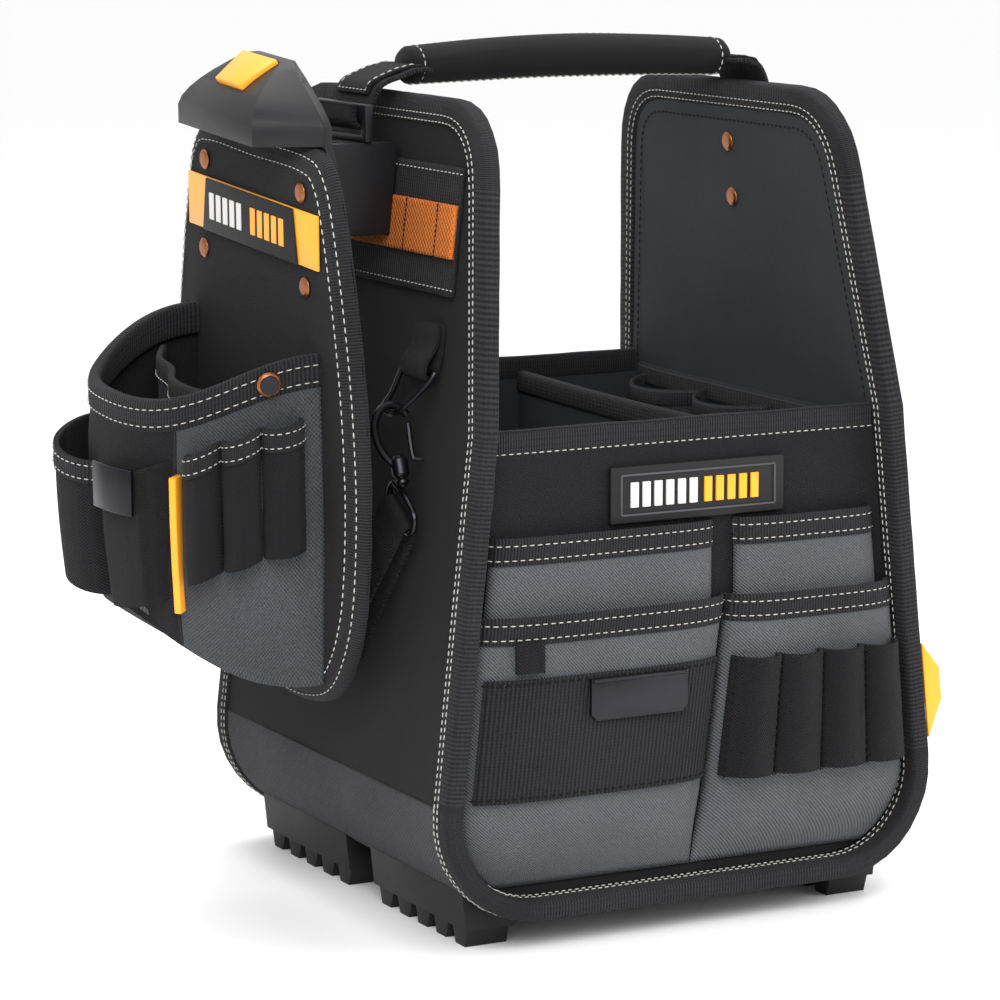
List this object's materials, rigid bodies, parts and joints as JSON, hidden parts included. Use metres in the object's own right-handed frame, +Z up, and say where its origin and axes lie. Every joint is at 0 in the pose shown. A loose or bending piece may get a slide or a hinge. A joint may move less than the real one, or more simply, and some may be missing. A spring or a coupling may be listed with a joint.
{
  "type": "electrician tool pouch on its tote",
  "caption": "Open-top electrician's tool tote of black and grey fabric with a padded grip and rubber feet, carrying a clip-on tool pouch with webbing loops on one wall.",
  "frame": {"origin": "centre of the overall box on the surface that the feet stand on", "axes": "+Z up; -Y is the tote's pocketed front; -X is the wall that carries the pouch"},
  "size_m": [0.3946, 0.2778, 0.4215],
  "materials": {
    "black_fabric": "coated ballistic weave, matt",
    "grip_cover": "smooth neoprene-like knit over foam",
    "grey_fabric": "fine diagonal weave, matt",
    "bag_fabric": "coarse weave, matt",
    "lining": "smooth coated lining",
    "trim_fabric": "coarse basket weave",
    "binding_tape": "ribbed tape with white stitching",
    "black_webbing": "ribbed webbing",
    "orange_webbing": "coarse woven webbing",
    "orange_plastic": "semi-gloss moulding",
    "black_plastic": "satin moulding",
    "rubber": "moulded, satin",
    "dark_steel": "black plated",
    "copper": "antique copper plating"
  },
  "bodies": {
    "tote": {"back_panel": "black_fabric", "base_wrap": "trim_fabric", "edge_binding": "binding_tape", "floor_board": "rubber", "foot_back_left": "rubber", "foot_back_right": "rubber", "foot_front_left": "rubber", "foot_front_right": "rubber", "front_badge": "rubber", "front_loop_band": "black_webbing", "front_panel": "black_fabric", "front_pocket_lower_left": "grey_fabric", "front_pocket_lower_right": "grey_fabric", "front_pocket_upper_left": "grey_fabric", "front_pocket_upper_right": "grey_fabric", "front_webbing_band": "black_webbing", "handle_grip": "grip_cover", "handle_rivet_1": "copper", "handle_rivet_2": "copper", "handle_webbing_left": "black_webbing", "handle_webbing_right": "black_webbing", "hanger_loop": "black_webbing", "hub_receiver": "black_plastic", "left_inner_pocket": "lining", "left_side_panel": "black_fabric", "long_divider": "lining", "orange_wall_band": "orange_webbing", "receiver_rivet_1": "copper", "receiver_rivet_2": "copper", "right_inner_pocket": "lining", "right_side_panel": "lining", "side_tag": "orange_plastic", "swivel_ring": "dark_steel", "tape_clip_plate": "dark_steel", "tether_strap": "black_webbing", "tool_sleeves": "lining", "triangle_ring": "dark_steel", "webbing_yoke": "black_plastic", "wide_wall_band": "black_webbing"},
    "pouch": {"badge_plate": "orange_plastic", "bag_divider": "black_fabric", "hub_body": "black_plastic", "hub_rivet_1": "copper", "hub_rivet_2": "copper", "hub_rivet_3": "copper", "hub_rivet_4": "copper", "pouch_badge": "rubber", "pouch_bag": "bag_fabric", "pouch_binding": "binding_tape", "pouch_loop_band": "black_webbing", "pouch_panel": "black_fabric", "pouch_sleeve_band": "black_webbing", "pouch_tag": "orange_plastic", "rim_binding": "binding_tape", "rim_rivet_back": "copper", "rim_rivet_front": "copper", "sleeve_plate": "black_plastic"},
    "release_button": {"release_button": "orange_plastic"},
    "snap_hook": {"snap_hook": "dark_steel"},
    "hook_gate": {"hook_gate": "dark_steel"}
  },
  "joints": [
    {"name": "pouch_lift", "type": "slide", "parent": "tote", "child": "pouch", "axis": [0, 0, 1], "range_m": [0, 0.06]},
    {"name": "release_press", "type": "slide", "parent": "pouch", "child": "release_button", "axis": [0.5958, 0.0578, -0.801], "range_m": [0, 0.002], "stiffness_N_per_m": 800},
    {"name": "hook_swivel", "type": "hinge", "parent": "tote", "child": "snap_hook", "pos_m": [-0.07273, -0.07756, 0.213], "axis": [0, 0.3746, 0.9272], "range_deg": [-15, 15]},
    {"name": "gate_swing", "type": "hinge", "parent": "snap_hook", "child": "hook_gate", "pos_m": [-0.06647, -0.07168, 0.23111], "axis": [-0.2079, -0.9069, 0.3664], "range_deg": [0, 25], "stiffness_Nm_per_rad": 0.02}
  ]
}
